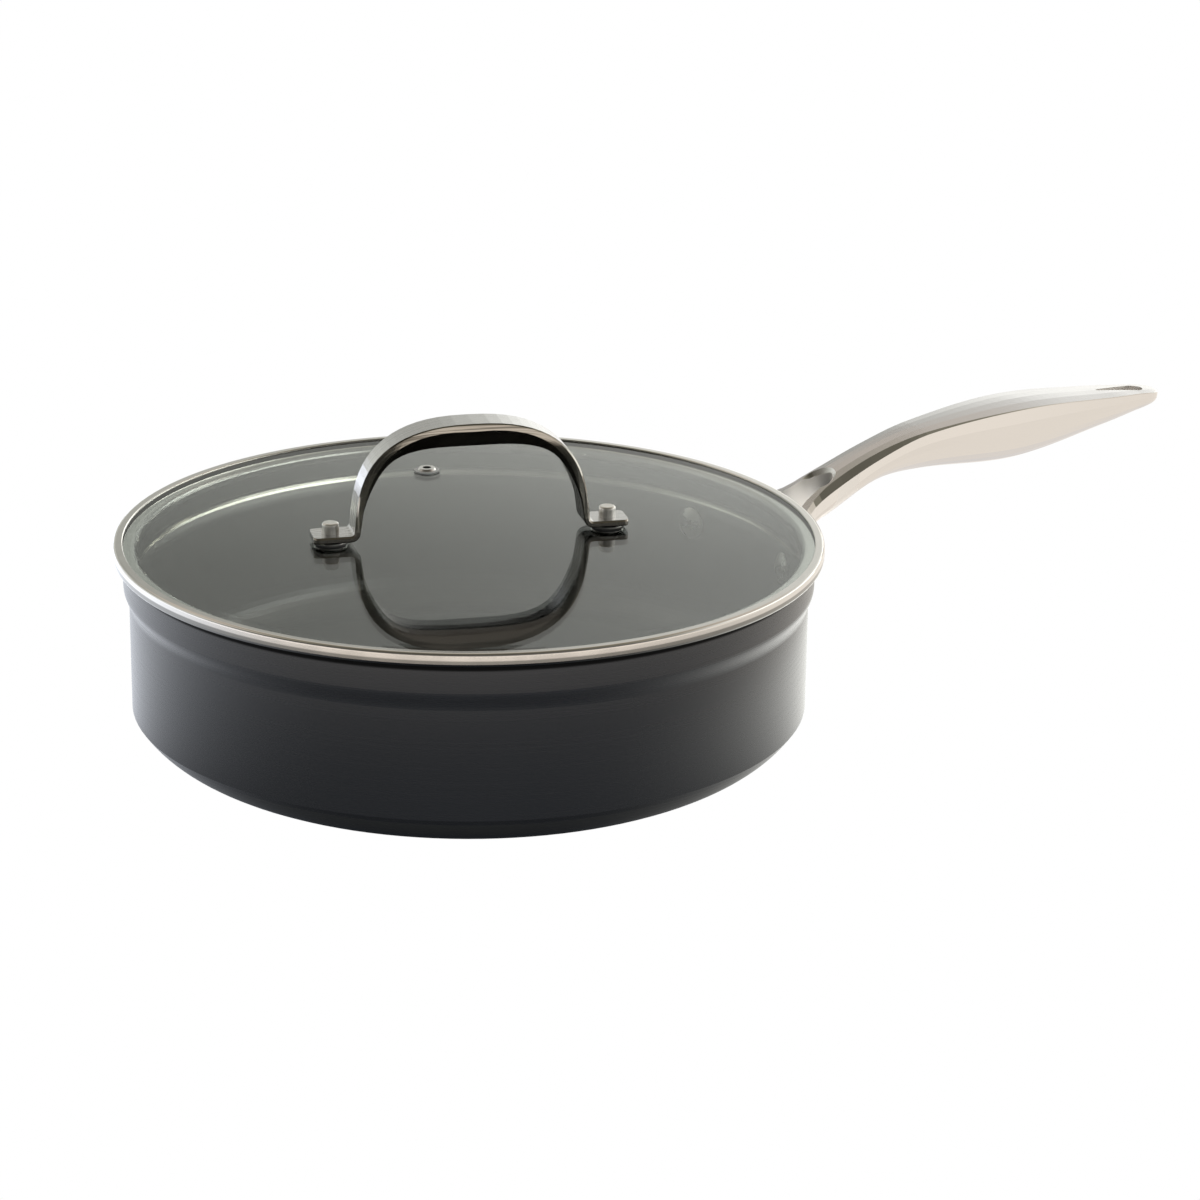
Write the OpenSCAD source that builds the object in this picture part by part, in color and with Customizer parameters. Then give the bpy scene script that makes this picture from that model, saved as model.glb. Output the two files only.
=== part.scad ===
// Saute pan with a low glass lid.
// Millimetres, +Z up. The origin is the centre of the resting face, and +X runs along the pan handle.

/* [Pan] */
// Outer radius of the straight wall
pan_r = 130; // [110:0.5:160]
// Height from the resting face to the rim
pan_h = 73; // [60:0.5:90]
// Thickness of the wall
pan_wall = 3; // [2:0.1:4]
// Thickness of the base
pan_base = 4.5; // [3:0.1:7]
// Height of the bevel between base and wall
base_bevel_h = 13; // [8:0.5:16]
// Width of the bevel between base and wall
base_bevel_w = 15; // [10:0.5:18]
// How far the bevel swells out from a straight line
base_swell = 1.4; // [0.5:0.1:2]
// Inner radius of the corner between base and wall
pan_inner_corner = 16; // [13:0.5:20]
// How far the ring at the rim stands out past the wall
rim_step = 2.1; // [1:0.1:3]
// Height of the upright ring at the rim
rim_ring_h = 11; // [8:0.5:14]
// Height of the slope between the wall and that ring
rim_slope_h = 7; // [5:0.5:10]
// Rounding of the two edges of the rim
rim_edge = 0.8; // [0.3:0.1:1.2]
// Depth of the turned grooves under the base
groove_depth = 0.3; // [0.1:0.1:0.8]
// Number of turned grooves under the base
groove_count = 5; // [0:1:8]

/* [Lid] */
// How far the steel band stands out past the pan's rim
lid_overhang = 3.5; // [2:0.1:6]
// Sheet thickness of the steel band
band_t = 0.6; // [0.5:0.1:1]
// Rounding of the band's outer edges
band_round = 1.2; // [0.8:0.1:1.8]
// Width of the band's lip over the glass
band_lip = 3.6; // [2.5:0.1:5]
// Depth of the locating rim under the band
spigot_drop = 3.5; // [2:0.1:6]
// Gap between the locating rim and the pan
spigot_gap = 2.3; // [0.5:0.1:3]
// Radius of the bend between the band and that rim
band_bend = 2; // [1:0.1:2.5]
// Thickness of the glass
glass_t = 4; // [3:0.1:5]
// Rise of the glass dome above its flat margin
dome_rise = 0.5; // [0.1:0.1:8]
// Width of the glass's flat margin inside the band's lip
glass_margin = 6.5; // [3:0.5:20]

/* [Lid handle] */
// Direction of the lid handle, counted from the pan handle
strap_angle = -17.7; // [-90:0.1:90]
// Distance of each stud from the lid's axis
stud_r = 53.9; // [40:0.1:70]
// How far the arch's legs stand in from the studs
leg_inset = 8.2; // [7.5:0.1:14]
// Height of the arch's outer top above the glass
arch_rise = 45.7; // [34:0.1:60]
// Squareness of the arch's outer outline
arch_power = 2.5; // [2:0.1:3.5]
// Squareness of the arch's inner outline
arch_inner_power = 3.4; // [2:0.1:4]
// How far the legs lean in on the outside of the arch
leg_lean = 0.6; // [0:0.1:1.5]
// How far the legs lean in on the inside of the arch
inner_lean = 3.6; // [0:0.1:4]
// Thickness of the legs and feet
leg_t = 2.4; // [2:0.1:4]
// Depth of the arch at its top
arch_top_t = 8.9; // [3:0.1:10]
// Width of the arch at its top
arch_w = 14.2; // [12:0.1:18]
// How much narrower the strap is at its shoulders
waist = 1.4; // [0:0.1:3]
// Width of the legs and feet
leg_w = 14; // [12:0.5:18]
// Bevel along the outer edges at the arch's top
arch_bevel = 0.5; // [0.3:0.1:1.5]
// Bevel along the outer edges of the legs and feet
leg_bevel = 0.7; // [0.3:0.1:1.1]
// Bevel along the inner edges
inner_bevel = 0.5; // [0.2:0.1:0.9]
// Depth of the arch's upright sides
side_t = 3; // [2.5:0.1:4]
// How far the arch narrows below its upright sides
side_slant = 1.2; // [0:0.1:2]
// Radius of the bend between leg and foot
foot_bend = 1.5; // [1:0.1:3]
// Length of the foot past the stud's centre
foot_past = 7.3; // [7:0.1:12]
// Rounding of the foot's corners
foot_corner = 2.2; // [1:0.1:5]

/* [Lid fasteners] */
// Diameter of the screw shanks
screw_d = 4; // [3:0.1:5]
// Diameter of the barrel nuts
nut_d = 6.6; // [6:0.1:9]
// Height of the barrel nuts above the feet
nut_h = 4.1; // [3.6:0.1:7]
// Diameter of the hole in each foot
foot_hole_d = 4.5; // [4:0.1:5.5]
// Diameter of the silicone sleeve in the glass
sleeve_d = 8; // [7:0.1:9]
// Diameter of the silicone gasket on the glass
gasket_d = 13.2; // [11:0.1:16]
// Thickness of the silicone gaskets
gasket_t = 0.5; // [0.4:0.1:1.5]
// Diameter of the steel washer under each foot
washer_d = 12.6; // [12:0.1:17]
// Thickness of the steel washers
washer_t = 0.6; // [0.4:0.1:1.5]
// Diameter of the black spacer under each foot
spacer_d = 10.5; // [8:0.1:12]
// Height of the black spacer under each foot
spacer_t = 0.5; // [0.4:0.1:4]
// Diameter of the screw heads under the lid
screw_head_d = 8.4; // [7:0.1:10]
// Height of the screw heads under the lid
screw_head_h = 2.6; // [2:0.1:4]

/* [Steam vent] */
// Distance of the vent from the lid's axis
vent_r = 84.5; // [30:0.5:105]
// Direction of the vent, counted from the pan handle
vent_angle = 72.5; // [30:0.1:120]
// Outer diameter of the eyelet's flange
vent_flange_d = 7.4; // [6.4:0.1:12]
// Bore of the eyelet
vent_bore_d = 3.4; // [2:0.1:4]
// Wall of the eyelet's tube
vent_tube_t = 0.6; // [0.4:0.1:0.8]
// Diameter of the silicone ring round the eyelet
vent_ring_d = 10.6; // [9:0.1:15]
// Thickness of the silicone ring
vent_ring_t = 0.6; // [0.4:0.1:1.5]

/* [Pan handle] */
// Distance of the fork's visible root from the pan's wall
fork_out = 20; // [16:0.5:26]
// Distance of the fork's crotch from the pan's wall
crotch_out = 32; // [28:0.5:40]
// Distance of the narrow neck from the pan's wall
neck_out = 56; // [48:0.5:66]
// Distance of the shoulder behind the neck from the pan's wall
shoulder_out = 80; // [72:0.5:92]
// Distance of the highest point from the pan's wall
peak_out = 128; // [112:0.5:138]
// Distance of the tail from the pan's wall
tail_out = 174; // [158:0.5:184]
// Length of the handle past the pan's wall
handle_len = 204; // [196:1:236]
// Height of the top face above the rim at the fork's root
fork_top = -3.1; // [-6:0.1:3]
// Height of the top face above the rim at the crotch
crotch_top = 3.1; // [0:0.1:8]
// Height of the top face above the rim at the neck
neck_top = 12.4; // [8:0.1:17]
// Height of the top face above the rim at the shoulder
shoulder_top = 18.2; // [15:0.1:27]
// Height of the top face above the rim at its highest point
peak_top = 22.4; // [18:0.1:32]
// Height of the top face above the rim at the tail
tail_top = 20.2; // [14:0.1:28]
// Height of the top face above the rim at the tip
tip_top = 17.8; // [10:0.1:26]
// Half width at the fork's root
fork_half_w = 13.7; // [12:0.1:17]
// Half width at the crotch
crotch_half_w = 10.8; // [9.5:0.1:13]
// Half width at the neck
neck_half_w = 9.2; // [7:0.1:11]
// Half width at the shoulder
shoulder_half_w = 9.3; // [8:0.1:13]
// Half width at the middle of the grip
grip_half_w = 12.4; // [9:0.1:15]
// Half width at the tail
tail_half_w = 10.5; // [8:0.1:13]
// Half width just before the rounded tip
tip_half_w = 8; // [6.5:0.1:10]
// Depth of the fork's arms
fork_depth = 10.5; // [9:0.1:14]
// Depth of the handle at the crotch
crotch_depth = 13; // [10:0.1:16]
// Depth of the handle at the neck
neck_depth = 12.8; // [10:0.1:17]
// Depth of the handle at the shoulder
shoulder_depth = 17.4; // [13:0.1:21]
// Depth of the belly under the grip
belly_depth = 23.7; // [16:0.1:28]
// Depth of the handle at the tail
tail_depth = 13.8; // [10:0.1:19]
// Depth of the handle at its tip
tip_depth = 5.2; // [4:0.1:9]
// Bevel beside the top face along the fork's arms
fork_edge = 1.9; // [0.8:0.1:2.4]
// Bevel beside the top face at the crotch
crotch_edge = 2.6; // [1:0.1:3.2]
// Bevel beside the top face at the neck
neck_edge = 2.2; // [1:0.1:3]
// Bevel beside the top face at the shoulder
shoulder_edge = 0.9; // [0.5:0.1:2]
// Bevel beside the top face along the grip
grip_edge = 0.3; // [0.2:0.1:1]
// Width of each fork arm
arm_w = 4.8; // [4.2:0.1:6]
// Width of the hanging hole at its round end
hang_w = 7.8; // [5:0.1:9]
// Length of the hanging hole
hang_len = 24; // [16:0.5:30]
// Solid metal between the hanging hole and the tip
hang_margin = 7.5; // [5:0.5:12]

/* [Rivets] */
// Angle of each rivet from the handle's centre line
rivet_angle = 15.4; // [12:0.1:19]
// Depth of the rivets below the rim
rivet_below = 22; // [20:0.5:30]
// Diameter of the rivet shanks
rivet_d = 6; // [5:0.1:8]
// Diameter of the inner rivet heads
rivet_head_d = 13; // [10:0.1:16]
// Height of the inner rivet heads
rivet_head_h = 3; // [2:0.1:5]
// Radius of the pad round each rivet
pad_r = 9.5; // [8:0.1:12]
// Thickness of each pad
pad_t = 4.2; // [3:0.1:7]

/* [Hidden] */
$fn = 96;
big_fn = 240;

// Height where the wall's slope to the ring at the rim begins
slope_low = pan_h - rim_ring_h - rim_slope_h;

// Heights and radii of the lid, built up from the pan's rim
lid_r = pan_r + rim_step + lid_overhang;
seat_z = pan_h;
glass_z = seat_z + band_t;
glass_top = glass_z + glass_t;
band_top = glass_top + band_t;
glass_r = lid_r - band_t;
spigot_r = inner_wall_r(pan_h - spigot_drop) - spigot_gap;
dome_r = lid_r - band_lip - glass_margin;
dome_steps = 20;

// Stack of pieces under each foot, counted from the glass
washer_low = gasket_t;
spacer_low = washer_low + washer_t;
foot_low = spacer_low + spacer_t;
foot_high = foot_low + leg_t;

// Stack of pieces under the glass
lower_washer_top = glass_t + gasket_t;
screw_head_top = lower_washer_top + washer_t;
lower_gasket_d = gasket_d - 1.6;
sleeve_gap = 0.1;
shank_gap = 0.2;

// Steel left above the thread in each nut, and the tube of the vent in its hole
nut_cap = 1.2;
vent_play = 0.6;
vent_tube_d = vent_bore_d + 2 * vent_tube_t;
vent_hole_d = vent_tube_d + 2 * vent_play;

// Centre of each rivet's pad on the wall
pad_x = pan_r * cos(rivet_angle);
pad_y = pan_r * sin(rivet_angle);
rivet_z = pan_h - rivet_below;

// Stations along the pan handle, from inside the wall to the tip
root_in = 7.3;
spread_past = 8.7;
tip_len = 13;
root_past_pad = 1.8;
root_rise = 7.5;
spread_inside = 7.7;
spread_rise = 12.5;
root_x = pad_x - root_in;
spread_x = pad_x + spread_past;
tip_x = pan_r + handle_len;
tip_start = tip_x - tip_len;
wall_out = [fork_out, crotch_out, neck_out, shoulder_out, peak_out, tail_out];
route_x = concat([root_x, spread_x], [for (d = wall_out) pan_r + d], [tip_x]);
width_x = concat([root_x, spread_x], [for (d = wall_out) pan_r + d], [tip_start]);
root_half_w = pad_y + pad_r + root_past_pad;
spread_half_w = pad_y - spread_inside;
root_top = rivet_z + root_rise;
spread_top = rivet_z + spread_rise;
route_half = [
    root_half_w, spread_half_w, fork_half_w, crotch_half_w, neck_half_w,
    shoulder_half_w, grip_half_w, tail_half_w, tip_half_w
];
top_above = [fork_top, crotch_top, neck_top, shoulder_top, peak_top, tail_top, tip_top];
route_top = concat([root_top, spread_top], [for (h = top_above) pan_h + h]);
route_depth = [
    fork_depth, fork_depth, fork_depth, crotch_depth, neck_depth,
    shoulder_depth, belly_depth, tail_depth, tip_depth
];
route_edge = [
    fork_edge, fork_edge, fork_edge, crotch_edge, neck_edge,
    shoulder_edge, grip_edge, grip_edge, grip_edge
];
route_power = [5, 5, 5, 4.4, 3, 2.4, 2.3, 2.3, 2.6];
grip_crown = 0.9;

// The wall steps out to the ring at the rim along a soft slope
function step_at(z) =
    let (t = min(1, max(0, (z - slope_low) / rim_slope_h))) rim_step * t * t * (3 - 2 * t);
function outer_wall_r(z) = pan_r + step_at(z);
function inner_wall_r(z) = pan_r - pan_wall + step_at(z);

// Arc of points in a plane
function arc(x, y, r, from, to, steps) =
    [for (i = [0:steps]) let (a = from + (to - from) * i / steps) [x + r * cos(a), y + r * sin(a)]];

// Glass surface: height and slope angle at a distance from the lid's axis
function dome_z(r) = r < dome_r ? dome_rise * (1 - pow(r / dome_r, 2)) : 0;
function dome_slope(r) = atan(2 * dome_rise * r / pow(dome_r, 2));

// Smooth curve through stations: xs are the places and ys the values there
function span_of(xs, x, i = 0) = i >= len(xs) - 2 || x < xs[i + 1] ? i : span_of(xs, x, i + 1);
function steep(xs, ys, i) =
    let (a = max(i - 1, 0), b = min(i + 1, len(xs) - 1)) (ys[b] - ys[a]) / (xs[b] - xs[a]);
function smooth(xs, ys, x) =
    let (
        i = span_of(xs, x),
        h = xs[i + 1] - xs[i],
        t = (x - xs[i]) / h,
        m0 = steep(xs, ys, i) * h,
        m1 = steep(xs, ys, i + 1) * h
    )
    (2 * pow(t, 3) - 3 * t * t + 1) * ys[i] + (pow(t, 3) - 2 * t * t + t) * m0
    + (3 * t * t - 2 * pow(t, 3)) * ys[i + 1] + (pow(t, 3) - t * t) * m1;

// Signed power, for rounded outlines between an ellipse and a rectangle
function spow(v, p) = sign(v) * pow(abs(v), p);

// Closed skin over a row of rings that all have the same number of points
module skin(rings) {
    n = len(rings[0]);
    m = len(rings);
    sides = [
        for (i = [0:m - 2], j = [0:n - 1])
            let (a = i * n + j, b = i * n + (j + 1) % n)
            each [[a, b, b + n], [a, b + n, a + n]]
    ];
    first = [for (j = [n - 1:-1:0]) j];
    last = [for (j = [0:n - 1]) (m - 1) * n + j];
    polyhedron([for (r = rings) each r], concat(sides, [first, last]));
}

// Places children on the glass, square to it, with z = 0 on its upper face
module on_glass(r, angle) {
    rotate([0, 0, angle])
        translate([r, 0, glass_top + dome_z(r)])
            rotate([0, dome_slope(r), 0])
                children();
}

// Places children on one of the two studs: side is 1 or -1
module at_stud(side) {
    on_glass(stud_r, side > 0 ? strap_angle : strap_angle + 180) children();
}

module ring(outer_d, inner_d, low, high) {
    translate([0, 0, low])
        difference() {
            cylinder(d = outer_d, h = high - low);
            translate([0, 0, -1]) cylinder(d = inner_d, h = high - low + 2);
        }
}

// Pan body: one revolved wall and base

groove_w = 1.2;
slope_steps = 8;
bevel_steps = 8;
corner_steps = 12;
base_r = pan_r - base_bevel_w;
groove_pitch = base_r / (groove_count + 1);
bevel_len = norm([base_bevel_w, base_bevel_h]);
bevel_outline = [
    for (i = [0:bevel_steps])
        let (t = i / bevel_steps, swell = 4 * base_swell * t * (1 - t) / bevel_len)
        [base_r + base_bevel_w * t + swell * base_bevel_h, base_bevel_h * t - swell * base_bevel_w]
];
slope_z = [for (i = [0:slope_steps]) slope_low + rim_slope_h * i / slope_steps];
slope_outer = [for (z = slope_z) [outer_wall_r(z), z]];
slope_inner = [for (i = [slope_steps:-1:0]) [inner_wall_r(slope_z[i]), slope_z[i]]];
rim_outer_x = outer_wall_r(pan_h - rim_edge) - rim_edge;
rim_inner_x = inner_wall_r(pan_h - rim_edge) + rim_edge;
inner_corner_x = pan_r - pan_wall - pan_inner_corner;
pan_outline = concat(
    [[0, 0]],
    [
        for (g = [1:1:groove_count])
            let (r = g * groove_pitch)
            each [[r, 0], [r, groove_depth], [r + groove_w, groove_depth], [r + groove_w, 0]]
    ],
    bevel_outline,
    slope_outer,
    arc(rim_outer_x, pan_h - rim_edge, rim_edge, 0, 90, 4),
    arc(rim_inner_x, pan_h - rim_edge, rim_edge, 90, 180, 4),
    slope_inner,
    arc(inner_corner_x, pan_base + pan_inner_corner, pan_inner_corner, 0, -90, corner_steps),
    [[0, pan_base]]
);

module at_rivet(side) {
    rotate([0, 0, side * rivet_angle]) translate([0, 0, rivet_z]) rotate([0, 90, 0]) children();
}

bore_reach = 20;
module rivet_bores() {
    for (side = [-1, 1])
        at_rivet(side)
            translate([0, 0, pan_r - bore_reach]) cylinder(d = rivet_d, h = 2 * bore_reach);
}

module pan_body() {
    color("dimgray")
        difference() {
            rotate_extrude($fn = big_fn) polygon(pan_outline);
            rivet_bores();
        }
}

// Pan handle: one loft from the wall to the tip, split into two arms by a round-ended slot

tip_round = 1.2;
function tip_share(x) = max(0, (x - tip_start) / (tip_x - tip_start));
function half_at(x) =
    smooth(width_x, route_half, min(x, tip_start)) * pow(max(0.001, 1 - pow(tip_share(x), 2.3)), 1 / 2.3);
function end_inset(x) =
    let (t = max(0, (x - tip_x + tip_round) / tip_round)) tip_round * (1 - sqrt(max(0, 1 - t * t)));
function top_at(x) = smooth(route_x, route_top, x) - end_inset(x);
function depth_at(x) = smooth(route_x, route_depth, x) - 2 * end_inset(x);

// One ring: a crowned top face, a bevel on each side of it and a rounded underside
belly_steps = 16;
crown_steps = 4;
function handle_ring(x) =
    let (
        w = half_at(x),
        top = top_at(x),
        b = min(smooth(route_x, route_edge, x), w / 2),
        p = smooth(route_x, route_power, x),
        deep = depth_at(x) - b
    )
    concat(
        [
            for (i = [0:belly_steps])
                let (a = 180 * i / belly_steps)
                [x, w * spow(cos(a), 2 / p), top - b - deep * spow(sin(a), 2 / p)]
        ],
        [
            for (i = [0:crown_steps])
                let (s = 2 * i / crown_steps - 1)
                [x, (w - b) * s, top + grip_crown * (1 - s * s) * w / grip_half_w]
        ]
    );
loft_steps = 54;
tip_steps = 10;
handle_places = concat(
    [for (i = [0:loft_steps]) root_x + (tip_start - root_x) * i / loft_steps],
    [for (i = [1:tip_steps]) tip_start + (tip_x - tip_start) * sin(90 * i / tip_steps)]
);

// Slot between the arms: the handle's outline set in by the arm's width, with a round crotch
crotch_past = 5.5;
crotch_x = pan_r + crotch_out + crotch_past;
crotch_round = 8;
slot_steps = 40;
function slot_half(x) =
    let (
        lean = (half_at(x + 1) - half_at(x - 1)) / 2,
        t = max(0, (x - crotch_x + crotch_round) / crotch_round)
    )
    (half_at(x) - arm_w * sqrt(1 + lean * lean)) * sqrt(max(0, 1 - t * t));
slot_edge = [
    for (i = [0:slot_steps])
        let (x = root_x + 1 + (crotch_x - root_x - 1) * sin(90 * i / slot_steps)) [x, slot_half(x)]
];

// The slot cuts right through, and a tilted cone bevels the top edge of its crotch
cone_h = 2.5;
cone_past = 1;
cone_out = 0.9;
module slot_space() {
    slope = atan((top_at(crotch_x) - top_at(crotch_x - crotch_round)) / crotch_round);
    cone_r = slot_half(crotch_x - crotch_round) + cone_out;
    cone_x = crotch_x - cone_r + cone_past;
    slot_other = [for (i = [slot_steps:-1:0]) [slot_edge[i][0], -slot_edge[i][1]]];
    translate([0, 0, -1])
        linear_extrude(height = pan_h * 2)
            polygon(concat(slot_edge, slot_other));
    translate([cone_x, 0, top_at(cone_x)])
        rotate([0, -slope, 0])
            translate([0, 0, -cone_h / 2])
                cylinder(r1 = cone_r - cone_h / 2, r2 = cone_r + cone_h / 2, h = cone_h);
}

// Everything inside the pan's outer surface
module pan_space() {
    past_rim = [[outer_wall_r(pan_h), pan_h + 1], [0, pan_h + 1]];
    rotate_extrude($fn = big_fn)
        polygon(concat([[0, -1], [pan_r, -1]], slope_outer, past_rim));
}

// Hanging hole: a long drop with its point towards the pan
module hanging_hole() {
    point_r = 0.9;
    round_x = tip_x - hang_margin - hang_w / 2;
    point_x = tip_x - hang_margin - hang_len + point_r;
    linear_extrude(height = pan_h * 2)
        hull() {
            translate([round_x, 0]) circle(d = hang_w);
            translate([point_x, 0]) circle(r = point_r, $fn = 24);
        }
}

pad_root = 3;
pad_draft = 0.8;
button_room = 1;
module pan_handle() {
    color("lightsteelblue")
        difference() {
            union() {
                difference() {
                    skin([for (x = handle_places) handle_ring(x)]);
                    slot_space();
                    hanging_hole();
                }
                for (side = [-1, 1])
                    at_rivet(side)
                        translate([0, 0, pan_r - pad_root])
                            cylinder(r1 = pad_r, r2 = pad_r - pad_draft, h = pad_t + pad_root);
            }
            pan_space();
            rivet_bores();
            for (side = [-1, 1])
                at_rivet(side)
                    translate([0, 0, pan_r + pad_t]) cylinder(d = button_d + button_room, h = bore_reach);
        }
}

// Rivets: a domed head inside the pan, a shank through wall and pad, and a low button outside
head_seat = sqrt(pow(pan_r - pan_wall, 2) - pow(rivet_head_d / 2, 2));
button_h = 0.9;
button_d = rivet_d + 3;

module rivet(side) {
    button_edge = 0.8;
    head_rim = 0.6;
    dome_fall = rivet_head_h - head_rim;
    dome_curve = (pow(rivet_head_d / 2, 2) + dome_fall * dome_fall) / (2 * dome_fall);
    dome_edge = asin(rivet_head_d / 2 / dome_curve);
    color("silver")
        at_rivet(side)
            rotate_extrude()
                polygon(concat(
                    [[0, pan_r + pad_t + button_h], [button_d / 2 - button_edge, pan_r + pad_t + button_h]],
                    [[button_d / 2, pan_r + pad_t], [rivet_d / 2, pan_r + pad_t]],
                    [[rivet_d / 2, head_seat], [rivet_head_d / 2, head_seat]],
                    [
                        for (i = [8:-1:0])
                            let (a = dome_edge * i / 8)
                            [dome_curve * sin(a), head_seat - rivet_head_h + dome_curve * (1 - cos(a))]
                    ]
                ));
}

// Lid rim: a steel band wrapped round the edge of the glass, with a rim that locates inside the pan
module lid_rim() {
    lip_edge = 0.3;
    flange_ease = 0.1;
    bend_x = spigot_r + band_bend;
    bend_z = seat_z - band_bend;
    color("lightgray")
        rotate_extrude($fn = big_fn)
            polygon(concat(
                [[spigot_r - band_t, seat_z - spigot_drop], [spigot_r, seat_z - spigot_drop]],
                arc(bend_x, bend_z, band_bend, 180, 90, 6),
                arc(lid_r - band_round, seat_z + band_round, band_round, -90, 0, 5),
                arc(lid_r - band_round, band_top - band_round, band_round, 0, 90, 5),
                [[lid_r - band_lip + lip_edge, band_top], [lid_r - band_lip, band_top - lip_edge]],
                [[lid_r - band_lip, glass_top], [glass_r, glass_top]],
                [[glass_r, glass_z], [lid_r - band_lip, glass_z]],
                arc(bend_x, bend_z, band_bend + band_t - flange_ease, 90, 180, 6),
                [[spigot_r - band_t, bend_z - 1]]
            ));
}

module glass_bores() {
    for (side = [-1, 1])
        at_stud(side)
            translate([0, 0, -glass_t * 2]) cylinder(d = sleeve_d, h = glass_t * 3);
    on_glass(vent_r, vent_angle)
        translate([0, 0, -glass_t * 2]) cylinder(d = vent_hole_d, h = glass_t * 3);
}

module lid_glass() {
    upper = [
        for (i = [dome_steps:-1:0]) let (r = dome_r * i / dome_steps) [r, glass_top + dome_z(r)]
    ];
    lower = [
        for (i = [0:dome_steps]) let (r = dome_r * i / dome_steps) [r, glass_z + dome_z(r)]
    ];
    color("lightcyan", 0.4)
        difference() {
            rotate_extrude($fn = big_fn)
                polygon(concat([[glass_r, glass_z], [glass_r, glass_top]], upper, lower));
            glass_bores();
        }
}

// Lid handle: one strap swept along its feet, bends, legs and arch
foot_tilt = tan(dome_slope(stud_r));
foot_base = dome_z(stud_r);
foot_under = foot_low / cos(dome_slope(stud_r));
foot_over = foot_under + leg_t;
arch_half = stud_r - leg_inset;
arch_foot = foot_over + foot_bend;
arch_height = dome_rise + arch_rise - foot_base;

// Each station is [outer point, inner point, half width, outer bevel], for the right half, from tip to top
function foot_shift(u) = -foot_tilt * (u - stud_r);
foot_stations = [
    for (a = [90, 62, 38, 16, 0])
        let (u = stud_r + foot_past - foot_corner + foot_corner * sin(a))
        [
            [u, foot_over + foot_shift(u)],
            [u, foot_under + foot_shift(u)],
            leg_w / 2 - foot_corner + max(0.1, foot_corner * cos(a)),
            leg_bevel
        ]
];
bend_x = arch_half + foot_bend;
bend_z = foot_over + foot_bend;
bend_stations = [
    for (i = [0:5])
        let (
            a = -90 - 90 * i / 5,
            o = [bend_x + foot_bend * cos(a), bend_z + foot_bend * sin(a)],
            n = [bend_x + (foot_bend + leg_t) * cos(a), bend_z + (foot_bend + leg_t) * sin(a)]
        )
        [[o[0], o[1] + foot_shift(o[0])], [n[0], n[1] + foot_shift(n[0])], leg_w / 2, leg_bevel]
];
arch_steps = 18;
lean_peak = 6.75;
arch_stations = [
    for (i = [1:arch_steps])
        let (
            a = 90 * i / arch_steps,
            c = spow(cos(a), 2 / arch_power),
            s = spow(sin(a), 2 / arch_power),
            ci = spow(cos(a), 2 / arch_inner_power),
            si = spow(sin(a), 2 / arch_inner_power),
            lift = foot_shift(arch_half) * (1 - s),
            lean = leg_lean * lean_peak * s * pow(1 - s, 2),
            inner_shift = inner_lean * lean_peak * si * si * (1 - si)
        )
        [
            [arch_half * c - lean, arch_foot + (arch_height - arch_foot) * s + lift],
            [
                (arch_half - leg_t) * ci - inner_shift,
                arch_foot + (arch_height - arch_top_t - arch_foot) * si + lift
            ],
            (leg_w + (arch_w - leg_w) * s) / 2 - 2 * waist * s * (1 - s),
            leg_bevel + (arch_bevel - leg_bevel) * s * s
        ]
];
half_stations = concat(foot_stations, bend_stations, arch_stations);
function mirrored(st) = [[-st[0][0], st[0][1]], [-st[1][0], st[1][1]], st[2], st[3]];
strap_stations = concat(
    half_stations,
    [for (i = [len(half_stations) - 2:-1:0]) mirrored(half_stations[i])]
);
function strap_ring(st) =
    let (
        o = st[0],
        d = st[1] - st[0],
        w = st[2],
        b = min(st[3], w / 2),
        c = min(inner_bevel, w / 2),
        side = min(side_t, norm(d) - c - 0.2),
        low = w - side_slant * max(0, norm(d) - side_t) / (arch_top_t - side_t),
        rows = [
            [0, w - b], [b / norm(d), w], [side / norm(d), w],
            [1 - c / norm(d), low], [1, low - c]
        ]
    )
    concat(
        [for (r = rows) [o[0] + d[0] * r[0], -r[1], o[1] + d[1] * r[0]]],
        [for (i = [4:-1:0]) let (r = rows[i]) [o[0] + d[0] * r[0], r[1], o[1] + d[1] * r[0]]]
    );

module lid_handle() {
    color("silver")
        difference() {
            rotate([0, 0, strap_angle])
                translate([0, 0, glass_top + foot_base])
                    skin([for (st = strap_stations) strap_ring(st)]);
            for (side = [-1, 1])
                at_stud(side) translate([0, 0, -1]) cylinder(d = foot_hole_d, h = foot_high + 4);
        }
}

// Fasteners of the lid handle, from top to bottom
module foot_nut(side) {
    nut_round = 0.9;
    color("gainsboro")
        at_stud(side)
            translate([0, 0, foot_high])
                rotate_extrude()
                    polygon(concat(
                        [[screw_d / 2, 0], [nut_d / 2, 0]],
                        arc(nut_d / 2 - nut_round, nut_h - nut_round, nut_round, 0, 90, 5),
                        [[0, nut_h], [0, nut_h - nut_cap], [screw_d / 2, nut_h - nut_cap]]
                    ));
}

module foot_spacer(side) {
    color("black") at_stud(side) ring(spacer_d, screw_d + 2 * shank_gap, spacer_low, foot_low);
}

module foot_washer(side) {
    color("silver") at_stud(side) ring(washer_d, screw_d + 2 * shank_gap, washer_low, spacer_low);
}

module glass_sleeve(side) {
    color("black")
        at_stud(side)
            difference() {
                union() {
                    cylinder(d = gasket_d, h = gasket_t);
                    translate([0, 0, -glass_t])
                        cylinder(d = sleeve_d - 2 * sleeve_gap, h = glass_t + gasket_t);
                }
                translate([0, 0, -glass_t - 1])
                    cylinder(d = screw_d + 2 * shank_gap, h = glass_t + gasket_t + 2);
            }
}

module lower_gasket(side) {
    color("black")
        at_stud(side) ring(lower_gasket_d, screw_d + 2 * shank_gap, -lower_washer_top, -glass_t);
}

module lower_washer(side) {
    color("silver")
        at_stud(side) ring(washer_d, screw_d + 2 * shank_gap, -screw_head_top, -lower_washer_top);
}

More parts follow.
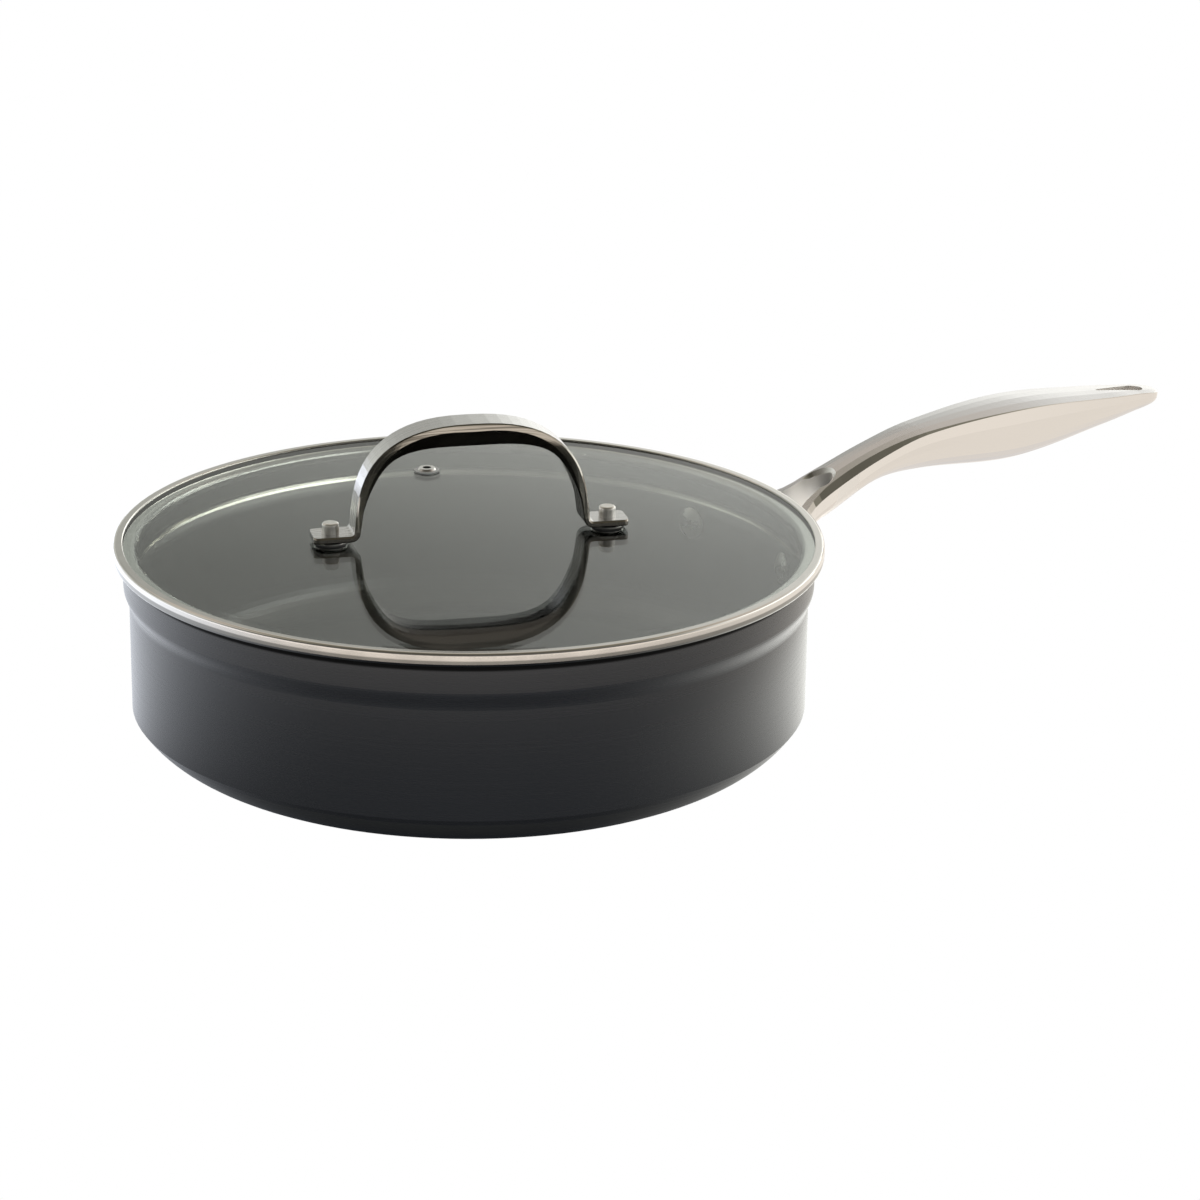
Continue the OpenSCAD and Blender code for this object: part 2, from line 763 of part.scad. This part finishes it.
module lid_screw(side) {
    shank_short = 0.4;
    shank_top = foot_high + nut_h - nut_cap - shank_short;
    head_draft = 1.6;
    slot_len = screw_head_d * 0.6;
    slot_w = 1.2;
    slot_depth = 1.4;
    color("silver")
        at_stud(side)
            difference() {
                union() {
                    translate([0, 0, -screw_head_top])
                        cylinder(d = screw_d, h = screw_head_top + shank_top);
                    translate([0, 0, -screw_head_top - screw_head_h])
                        cylinder(d1 = screw_head_d - head_draft, d2 = screw_head_d, h = screw_head_h);
                }
                for (a = [0, 90])
                    rotate([0, 0, a])
                        translate([-slot_len / 2, -slot_w / 2, -screw_head_top - screw_head_h - 1])
                            cube([slot_len, slot_w, slot_depth + 1]);
            }
}

// Steam vent: a steel eyelet in a silicone ring, with a second ring below the glass
module vent_eyelet() {
    flange_t = 0.8;
    flange_draft = 1;
    low = -glass_t - vent_ring_t - flange_t;
    tube_h = glass_t + 2 * (vent_ring_t + flange_t);
    color("silver")
        on_glass(vent_r, vent_angle)
            difference() {
                union() {
                    translate([0, 0, low]) cylinder(d = vent_tube_d, h = tube_h);
                    translate([0, 0, vent_ring_t])
                        cylinder(d1 = vent_flange_d, d2 = vent_flange_d - flange_draft, h = flange_t);
                    translate([0, 0, low])
                        cylinder(d1 = vent_flange_d - flange_draft, d2 = vent_flange_d, h = flange_t);
                }
                translate([0, 0, low - 1]) cylinder(d = vent_bore_d, h = tube_h + 2);
            }
}

module vent_ring() {
    color("gray")
        on_glass(vent_r, vent_angle) ring(vent_ring_d, vent_tube_d, 0, vent_ring_t);
}

module vent_lower_ring() {
    color("gray")
        on_glass(vent_r, vent_angle)
            ring(vent_ring_d, vent_tube_d, -glass_t - vent_ring_t, -glass_t);
}

pan_body();
pan_handle();
rivet(1);  // rivet_left
rivet(-1);  // rivet_right
lid_rim();
lid_glass();
lid_handle();
foot_nut(-1);  // foot_nut_left
foot_nut(1);  // foot_nut_right
foot_spacer(-1);  // foot_spacer_left
foot_spacer(1);  // foot_spacer_right
foot_washer(-1);  // foot_washer_left
foot_washer(1);  // foot_washer_right
glass_sleeve(-1);  // glass_sleeve_left
glass_sleeve(1);  // glass_sleeve_right
lower_gasket(-1);  // lower_gasket_left
lower_gasket(1);  // lower_gasket_right
lower_washer(-1);  // lower_washer_left
lower_washer(1);  // lower_washer_right
lid_screw(-1);  // lid_screw_left
lid_screw(1);  // lid_screw_right
vent_eyelet();
vent_ring();
vent_lower_ring();
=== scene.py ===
import math

import bpy
from mathutils import Matrix, Vector


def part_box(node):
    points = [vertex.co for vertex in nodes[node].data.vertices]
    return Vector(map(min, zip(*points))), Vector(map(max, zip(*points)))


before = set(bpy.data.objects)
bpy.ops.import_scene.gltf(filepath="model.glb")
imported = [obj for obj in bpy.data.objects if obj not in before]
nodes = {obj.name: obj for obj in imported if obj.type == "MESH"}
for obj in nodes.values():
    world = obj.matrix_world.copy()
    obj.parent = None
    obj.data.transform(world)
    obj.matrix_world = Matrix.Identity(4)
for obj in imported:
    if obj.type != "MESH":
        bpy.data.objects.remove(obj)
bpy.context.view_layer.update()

# Sizes in metres: the heights come from the frame's boxes, the others repeat part.scad's
pan_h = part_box("pan_body")[1][2]
band_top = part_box("lid_rim")[1][2]
pan_wall_r = 0.130
pan_wall_t = 0.003
pan_base_t = 0.0045
rim_ring_h, rim_slope_h, rim_step = 0.011, 0.007, 0.0021
# The next two are heights of painted light: a painted highlight along the inner slope, and painted shade under the
# lid's band
painted_highlight_h = 0.003
lid_shade_h = 0.003
fork_half_gap, fork_end_x = 0.0105, 0.175
hole_half_w, hole_start_x = 0.0042, 0.300
strap_turn = math.radians(-17.7)
strap_half_span, strap_base_z, strap_rise = 0.0437, 0.078, 0.0425
strap_foot_top = 0.0845

# The pan handle points this far round from the photograph's right
handle_turn = math.radians(31.5)
turn_cos, turn_sin = math.cos(handle_turn), math.sin(handle_turn)


def from_photo(x, y, z):
    """A place given in the photograph's frame (x right, y away, z up) in the part's frame."""
    return x * turn_cos + y * turn_sin, y * turn_cos - x * turn_sin, z


# Node-building helpers

class Graph:
    """A node tree under construction: each method adds nodes and returns their output."""

    def __init__(self, tree):
        self.tree = tree

    def node(self, kind, **settings):
        made = self.tree.nodes.new(kind)
        for name, value in settings.items():
            setattr(made, name, value)
        return made

    def put(self, socket, value):
        """Links a socket into another, or sets a constant on it."""
        if isinstance(value, bpy.types.NodeSocket):
            self.tree.links.new(value, socket)
        else:
            socket.default_value = value

    def place(self):
        return self.node("ShaderNodeTexCoord").outputs["Object"]

    def direction(self):
        return self.node("ShaderNodeTexCoord").outputs["Generated"]

    def normal(self):
        return self.node("ShaderNodeNewGeometry").outputs["Normal"]

    def split(self, vector):
        made = self.node("ShaderNodeSeparateXYZ")
        self.put(made.inputs[0], vector)
        return made.outputs

    def join(self, x, y, z):
        made = self.node("ShaderNodeCombineXYZ")
        for socket, value in zip(made.inputs, (x, y, z)):
            self.put(socket, value)
        return made.outputs[0]

    def math(self, operation, a, b=0.0):
        made = self.node("ShaderNodeMath", operation=operation)
        self.put(made.inputs[0], a)
        self.put(made.inputs[1], b)
        return made.outputs[0]

    def product(self, first, *others):
        for other in others:
            first = self.math("MULTIPLY", first, other)
        return first

    def radius(self):
        x, y = self.split(self.place())[:2]
        return self.math("SQRT", self.math("ADD", self.product(x, x), self.product(y, y)))

    def span(self, value, low, high, to_low=0.0, to_high=1.0):
        """A smooth change from to_low, where the value is low, to to_high, where it is high."""
        made = self.node("ShaderNodeMapRange", interpolation_type="SMOOTHSTEP")
        for socket, v in zip(made.inputs, (value, low, high, to_low, to_high)):
            self.put(socket, v)
        return made.outputs[0]

    def blend(self, factor, a, b):
        """Colour a where the factor is nought, colour b where it is one."""
        made = self.node("ShaderNodeMix", data_type="RGBA")
        self.put(made.inputs[0], factor)
        self.put(made.inputs[6], a if isinstance(a, bpy.types.NodeSocket) else (*a, 1))
        self.put(made.inputs[7], b if isinstance(b, bpy.types.NodeSocket) else (*b, 1))
        return made.outputs[2]

    def noise(self, vector, scale, detail):
        made = self.node("ShaderNodeTexNoise")
        self.put(made.inputs["Vector"], vector)
        made.inputs["Scale"].default_value = scale
        made.inputs["Detail"].default_value = detail
        made.inputs["Roughness"].default_value = 0.55
        return made.outputs["Fac"]

    def streaks(self, *scaled, detail):
        """Noise over three coordinates, each given with its own scale."""
        return self.noise(self.join(*(self.product(value, scale) for value, scale in scaled)), 1.0, detail)


class Look(Graph):
    """A procedural material."""

    def __init__(self, name, color, metallic=0.0, roughness=0.4, **sockets):
        self.mat = bpy.data.materials.new(name)
        self.mat.use_nodes = True
        super().__init__(self.mat.node_tree)
        self.shader = self.tree.nodes["Principled BSDF"]
        self.shader.inputs["Base Color"].default_value = (*color, 1)
        self.shader.inputs["Metallic"].default_value = metallic
        self.shader.inputs["Roughness"].default_value = roughness
        for socket, value in sockets.items():
            self.shader.inputs[socket.replace("_", " ")].default_value = value

    def color(self, value):
        self.put(self.shader.inputs["Base Color"], value)

    def rough(self, value):
        self.put(self.shader.inputs["Roughness"], value)

    def bumpy(self, height, strength):
        """Raises the surface by a height of up to a tenth of a millimetre."""
        made = self.node("ShaderNodeBump")
        made.inputs["Strength"].default_value = strength
        made.inputs["Distance"].default_value = 0.0001
        self.put(made.inputs["Height"], height)
        self.put(self.shader.inputs["Normal"], made.outputs[0])


class Sky(Graph):
    """The scene's world."""

    def __init__(self, name):
        world = bpy.data.worlds.new(name)
        world.use_nodes = True
        bpy.context.scene.world = world
        super().__init__(world.node_tree)


# Materials

def anodised():
    """Charcoal hard anodising, faintly turned; painted shade makes it nearly black under the lid's band. Inside, dark,
    with a pale bare-metal band as a painted highlight.
    """
    look = Look("anodised", color=(0.012, 0.0125, 0.014), roughness=0.3, IOR=1.6)
    z = look.split(look.place())[2]
    nz = look.split(look.normal())[2]
    r = look.radius()

    # Inside is above the base and nearer than the middle of the wall, which slopes out to the locating ring
    slope_high = pan_h - rim_ring_h
    wall_middle = pan_wall_r - pan_wall_t * 0.5
    middle = look.span(z, slope_high - rim_slope_h, slope_high, wall_middle, wall_middle + rim_step)
    above_base = look.math("GREATER_THAN", z, pan_base_t - 0.0002)
    inside = look.product(above_base, look.math("LESS_THAN", r, middle))
    # Painted highlight: the top of the inner slope is painted as a pale bare-metal band, in place of the highlight
    # along it
    ledge_low = slope_high - painted_highlight_h
    ledge = look.product(look.span(z, ledge_low, ledge_low + 0.0006), look.span(z, slope_high + 0.0004, slope_high))
    painted_highlight = look.product(inside, ledge)

    charcoal = look.blend(look.noise(look.place(), 22.0, 3.0), (0.0180, 0.0190, 0.0210), (0.0200, 0.0210, 0.0235))
    # Painted shade: outside, the wall's top under the lid's band is painted nearly black and its specular is turned
    # down; faces turned up and the inside are left out
    shade_low = pan_h - lid_shade_h
    open_wall = look.span(z, shade_low, shade_low + 0.001, 1.0, 0.08)
    lit = look.math("MAXIMUM", open_wall, look.math("MAXIMUM", inside, look.span(nz, 0.2, 0.6)))
    outside = look.blend(lit, (0.002, 0.002, 0.002), charcoal)
    coated = look.blend(inside, outside, (0.030, 0.031, 0.030))
    look.color(look.blend(painted_highlight, coated, (0.86, 0.83, 0.74)))
    look.put(look.shader.inputs["Metallic"], painted_highlight)
    look.put(look.shader.inputs["Specular IOR Level"], look.product(lit, 0.5))

    turned = look.streaks((r, 300.0), (0.0, 0.0), (z, 900.0), detail=2.0)
    satin = look.span(look.math("MAXIMUM", turned, inside), 0.3, 0.7, 0.25, 0.28)
    duller = look.math("SUBTRACT", look.product(inside, 0.02), look.product(painted_highlight, 0.16))
    look.rough(look.math("ADD", satin, duller))
    look.bumpy(look.noise(look.place(), 5200.0, 2.0), 0.03)
    return look


def cast_steel():
    """Cast stainless: a satin top face brushed along its length, and polished sides painted near white above and greyer
    below as painted reflection; matt in the slot and the hole.
    """
    look = Look("cast_steel", color=(0.70, 0.68, 0.66), metallic=1.0, roughness=0.2)
    x, y, z = look.split(look.place())
    nz = look.split(look.normal())[2]
    top = look.span(nz, 0.80, 0.88)
    lines = look.streaks((x, 30.0), (y, 1800.0), (z, 60.0), detail=5.0)

    # Painted reflection: the sides are painted near white where they face a little up, warm grey where upright and
    # lavender grey where they turn under
    painted_underside = look.blend(look.span(nz, -0.75, -0.35), (0.60, 0.60, 0.63), (0.72, 0.695, 0.67))
    painted_side = look.blend(look.span(nz, -0.08, 0.10), painted_underside, (0.93, 0.92, 0.90))
    look.color(look.blend(top, painted_side, look.blend(lines, (0.70, 0.69, 0.70), (0.73, 0.72, 0.73))))

    upright = look.span(nz, 0.7, 0.5)
    off_centre = look.math("ABSOLUTE", y)
    slot = look.product(
        look.math("LESS_THAN", x, fork_end_x), look.math("LESS_THAN", off_centre, fork_half_gap), upright)
    hole = look.product(
        look.math("GREATER_THAN", x, hole_start_x), look.math("LESS_THAN", off_centre, hole_half_w))
    matt = look.product(look.math("MAXIMUM", slot, hole), 0.32, upright)
    satin = look.product(top, look.span(lines, 0.3, 0.7, 0.12, 0.16))
    polish = look.span(look.noise(look.place(), 40.0, 1.0), 0.3, 0.7, 0.09, 0.13)
    look.rough(look.math("ADD", look.math("ADD", satin, polish), matt))
    look.bumpy(look.product(lines, top), 0.03)
    return look


def strap_steel():
    """Stainless strap: a satin face brushed along it; sides painted dark as painted reflection, in streaks that follow
    the arch, and painted shade where they face down.
    """
    look = Look("strap_steel", color=(0.68, 0.67, 0.66), metallic=1.0, roughness=0.2)
    x, y, z = look.split(look.place())
    nx, ny, nz = look.split(look.normal())
    c, s = math.cos(strap_turn), math.sin(strap_turn)
    along = look.math("ADD", look.product(x, c), look.product(y, s))
    across = look.math("SUBTRACT", look.product(y, c), look.product(x, s))
    faces_across = look.math("SUBTRACT", look.product(ny, c), look.product(nx, s))
    face = look.span(look.math("ABSOLUTE", faces_across), 0.25, 0.1)
    lines = look.streaks((along, 60.0), (across, 2600.0), (z, 60.0), detail=5.0)

    # Layers of the arch: one on its middle line, less inside it
    reach = look.math("DIVIDE", look.math("ABSOLUTE", along), strap_half_span)
    rise = look.math("DIVIDE", look.math("MAXIMUM", look.math("SUBTRACT", z, strap_base_z), 0.0), strap_rise)
    fourth_powers = look.math("ADD", look.math("POWER", reach, 4.0), look.math("POWER", rise, 4.0))
    layer = look.math("POWER", fourth_powers, 0.25)
    arched = look.streaks((along, 16.0), (across, 60.0), (layer, 60.0), detail=3.0)

    # Painted reflection: the sides are painted dark, in dark and brown streaks along the arch and one plain tone on the
    # feet
    painted_arch_reflection = look.blend(look.span(arched, 0.40, 0.60), (0.16, 0.15, 0.13), (0.44, 0.42, 0.38))
    above_foot = look.span(z, strap_foot_top - 0.001, strap_foot_top + 0.001)
    painted_side = look.blend(above_foot, (0.40, 0.375, 0.34), painted_arch_reflection)
    shown = look.blend(face, painted_side, look.blend(lines, (0.60, 0.60, 0.61), (0.70, 0.69, 0.68)))
    # Painted shade: faces that turn down are painted nearly black
    look.color(look.blend(look.span(nz, -0.05, -0.17), shown, (0.15, 0.145, 0.135)))
    look.rough(look.math("ADD", look.product(face, look.span(lines, 0.3, 0.7, 0.10, 0.2)), 0.09))
    look.bumpy(look.product(lines, face), 0.08)
    return look


def polished_steel(name, color, roughness):
    """Polished stainless with faint smears and fine scratches."""
    look = Look(name, color=color, metallic=1.0, roughness=roughness)
    smear = look.noise(look.place(), 90.0, 4.0)
    look.color(look.blend(smear, tuple(c * 0.94 for c in color), color))
    look.rough(look.span(smear, 0.3, 0.7, roughness * 0.8, roughness * 1.5))
    look.bumpy(look.noise(look.place(), 2400.0, 2.0), 0.04)
    return look


def band_steel():
    """Polished lid band, with painted shade where it bends down under the glass."""
    bright = (0.72, 0.70, 0.67)
    look = polished_steel("band_steel", bright, 0.10)
    z = look.split(look.place())[2]
    nz = look.split(look.normal())[2]
    # Painted shade: where the band bends down under the glass it is painted dark
    shaded_bend = look.product(look.span(z, band_top - 0.0024, band_top - 0.0030), look.span(nz, 0.985, 0.90))
    look.color(look.blend(shaded_bend, bright, (0.30, 0.295, 0.28)))
    return look


def tempered_glass():
    """Clear glass with a faint green body colour."""
    look = Look("tempered_glass", color=(0.90, 0.94, 0.925), roughness=0.0, IOR=1.5, Transmission_Weight=1.0)
    film = look.noise(look.place(), 9.0, 4.0)
    look.color(look.blend(film, (0.88, 0.925, 0.91), (0.91, 0.945, 0.93)))
    return look


def silicone(name, color, roughness, **sockets):
    """Moulded silicone with a faint dusty grain."""
    look = Look(name, color=color, roughness=roughness, **sockets)
    dust = look.noise(look.place(), 600.0, 3.0)
    look.color(look.blend(dust, tuple(c * 0.85 for c in color), tuple(min(1.0, c * 1.2) for c in color)))
    look.bumpy(dust, 0.08)
    return look


def dress(look, *names):
    for name in names:
        slots = nodes[name].data.materials
        slots.clear()
        slots.append(look.mat)


def pair(name):
    return name + "_left", name + "_right"


fastener = polished_steel("fastener_steel", (0.72, 0.71, 0.69), 0.16)
satin_nut = polished_steel("nut_steel", (0.82, 0.81, 0.78), 0.30)
black = silicone("black_silicone", (0.012, 0.012, 0.012), 0.42)
clear = silicone("clear_silicone", (0.55, 0.56, 0.55), 0.25, Transmission_Weight=0.6)
dress(anodised(), "pan_body")
dress(cast_steel(), "pan_handle")
dress(polished_steel("rivet_steel", (0.48, 0.47, 0.45), 0.25), *pair("rivet"))
dress(band_steel(), "lid_rim")
dress(tempered_glass(), "lid_glass")
dress(strap_steel(), "lid_handle")
dress(satin_nut, *pair("foot_nut"))
dress(fastener, *pair("foot_washer"), *pair("lower_washer"), *pair("lid_screw"), "vent_eyelet")
dress(black, *pair("foot_spacer"), *pair("glass_sleeve"), *pair("lower_gasket"))
dress(clear, "vent_ring", "vent_lower_ring")

# Smooth shading over the gentle facets, crisp at real edges
crisp_angle = math.radians(28)
for item in nodes.values():
    for polygon in item.data.polygons:
        polygon.use_smooth = True
    item.modifiers.new("crisp edges", "EDGE_SPLIT").split_angle = crisp_angle


# Floor and world: plain white to the camera, a studio in the metal and the glass

def photo_axes(graph, x, y):
    """Turns a direction in the part's frame into the photograph's right and away."""
    right = graph.math("SUBTRACT", graph.product(x, turn_cos), graph.product(y, turn_sin))
    away = graph.math("ADD", graph.product(x, turn_sin), graph.product(y, turn_cos))
    return right, away


def first_sight(graph):
    """One where the camera meets the surface straight or through glass alone, else nought."""
    path = graph.node("ShaderNodeLightPath").outputs
    bounced = graph.math("ADD", path["Glossy Depth"], path["Diffuse Depth"])
    through = graph.product(path["Is Transmission Ray"], graph.math("LESS_THAN", bounced, 0.5))
    return graph.math("MAXIMUM", path["Is Camera Ray"], through)


def show_white(graph, mirrored, white, output):
    """Gives the camera a plain white, and every other ray the mirrored shader."""
    white.inputs[0].default_value = (1, 1, 1, 1)
    white.inputs[1].default_value = 1.0
    mix = graph.node("ShaderNodeMixShader")
    graph.put(mix.inputs[0], first_sight(graph))
    graph.put(mix.inputs[1], mirrored.outputs[0])
    graph.put(mix.inputs[2], white.outputs[0])
    graph.put(graph.tree.nodes[output].inputs[0], mix.outputs[0])


def floor_look():
    """White floor; to every other ray it glows, with a painted brightness and colour on each side, and painted shadow
    in front and close to the pan.
    """
    left, right_near, right_far = (1.38, 1.44, 1.55), (1.95, 1.94, 1.85), (1.02, 0.96, 0.88)
    front_shadow, front_far = (0.03, 0.033, 0.04), (1.12, 1.02, 0.92)
    look = Look("floor", color=(0.9, 0.9, 0.9), roughness=0.8)
    x, y = look.split(look.place())[:2]
    r = look.math("MAXIMUM", look.radius(), 0.001)
    right, away = photo_axes(look, look.math("DIVIDE", x, r), look.math("DIVIDE", y, r))
    right_side = look.blend(look.span(r, 0.19, 0.27), right_near, right_far)
    sides = look.blend(look.span(right, -0.6, 0.6), left, right_side)
    front = look.blend(look.span(r, 0.31, 0.35), front_shadow, front_far)
    mirrored = look.node("ShaderNodeEmission")
    look.put(mirrored.inputs[0], look.blend(look.span(away, -1.0, 0.3), front, sides))
    # Painted shadow: the glow fades almost to nothing under and close to the pan
    look.put(mirrored.inputs[1], look.span(r, 0.09, 0.122, 0.05, 1.0))
    show_white(look, mirrored, look.node("ShaderNodeEmission"), "Material Output")
    return look


def add_floor():
    bpy.ops.mesh.primitive_circle_add(vertices=96, radius=6.0, fill_type="NGON", location=(0, 0, 0))
    floor = bpy.context.object
    floor.name = "studio_floor"
    floor.data.materials.append(floor_look().mat)


def add_world():
    """White world; mirrored, a pale sweep behind and beside that falls off upward and in front."""
    sky = Sky("studio")
    x, y, z = sky.split(sky.direction())
    right, away = photo_axes(sky, x, y)

    falloff = sky.span(z, 0.62, 0.92, 1.0, 0.38)
    behind = sky.span(away, -0.5, 0.1, 0.22, 1.0)
    low = sky.span(z, 0.12, 0.45, 1.0, 0.0)
    flanks = sky.math("ADD", sky.span(right, 0.08, 0.35), sky.span(right, -0.4, -0.8, 0.0, 0.5))
    beside = sky.product(low, flanks, 0.7)
    glow = sky.span(z, 0.25, 0.33, 0.6, 0.0)
    lift = sky.math("ADD", sky.math("ADD", 1.0, glow), beside)
    sweep = sky.product(falloff, behind, lift)

    # A bright panel at the front right, only for rays that leave the pan through the lid: they cross the glass twice,
    # and so pass more than two of its faces
    depth = sky.node("ShaderNodeLightPath").outputs["Transmission Depth"]
    leaves_pan = sky.math("GREATER_THAN", depth, 2.5)
    panel_strength = 5.0
    panel = sky.product(
        sky.span(right, 0.5, 0.72), sky.span(away, -0.88, -0.68), sky.span(z, 0.66, 0.46), leaves_pan, panel_strength)

    level = sky.blend(sky.span(right, -0.12, 0.14), (0.41, 0.415, 0.385), (0.80, 0.80, 0.76))
    ceiling = sky.blend(sky.span(z, 0.65, 0.85), (0.68, 0.62, 0.55), (0.62, 0.58, 0.46))
    mirrored = sky.tree.nodes["Background"]
    sky.put(mirrored.inputs[0], sky.blend(sky.span(z, 0.40, 0.58), level, ceiling))
    sky.put(mirrored.inputs[1], sky.math("MAXIMUM", sweep, panel))
    show_white(sky, mirrored, sky.node("ShaderNodeBackground"), "World Output")


def add_lamp(name, place, aim, size, power, color=(1, 1, 1)):
    """An area lamp that is itself unseen, also in mirrors and through glass."""
    data = bpy.data.lights.new(name, "AREA")
    data.shape = "RECTANGLE"
    data.size, data.size_y = size
    data.energy = power
    data.color = color
    lamp = bpy.data.objects.new(name, data)
    bpy.context.collection.objects.link(lamp)
    lamp.location = place
    lamp.rotation_euler = (Vector(aim) - Vector(place)).to_track_quat("-Z", "Y").to_euler()
    lamp.visible_camera = lamp.visible_glossy = lamp.visible_transmission = False


def add_camera():
    """The photograph's camera, as fitted to its ellipses: place, pitch down, roll and lens."""
    place = Vector(from_photo(0.05009, -1.34561, 0.51726))
    pitch, roll = math.radians(19.0733), math.radians(0.774)
    sp, cp = math.sin(pitch), math.cos(pitch)
    pitched = Matrix(((1, 0, 0), (0, -sp, -cp), (0, cp, -sp)))
    turned = Matrix.Rotation(roll, 3, "Z") @ pitched @ Matrix.Rotation(handle_turn, 3, "Z")
    columns = Matrix((turned[0], -turned[1], -turned[2])).transposed()
    data = bpy.data.cameras.new("camera")
    data.sensor_width = 36.0
    data.lens = 111.0
    camera = bpy.data.objects.new("camera", data)
    bpy.context.collection.objects.link(camera)
    camera.matrix_world = Matrix.Translation(place) @ columns.to_4x4()
    bpy.context.scene.camera = camera


add_camera()
add_floor()
add_world()
add_lamp("overhead", from_photo(0.0, 0.1, 1.3), (0, 0, 0.05), (1.0, 0.8), 6.0)
add_lamp("front_fill", from_photo(0.0, -1.6, 0.7), (0, 0, 0.03), (1.4, 0.9), 26.0, (0.97, 0.99, 1.0))

bpy.context.scene.view_settings.view_transform = "Standard"
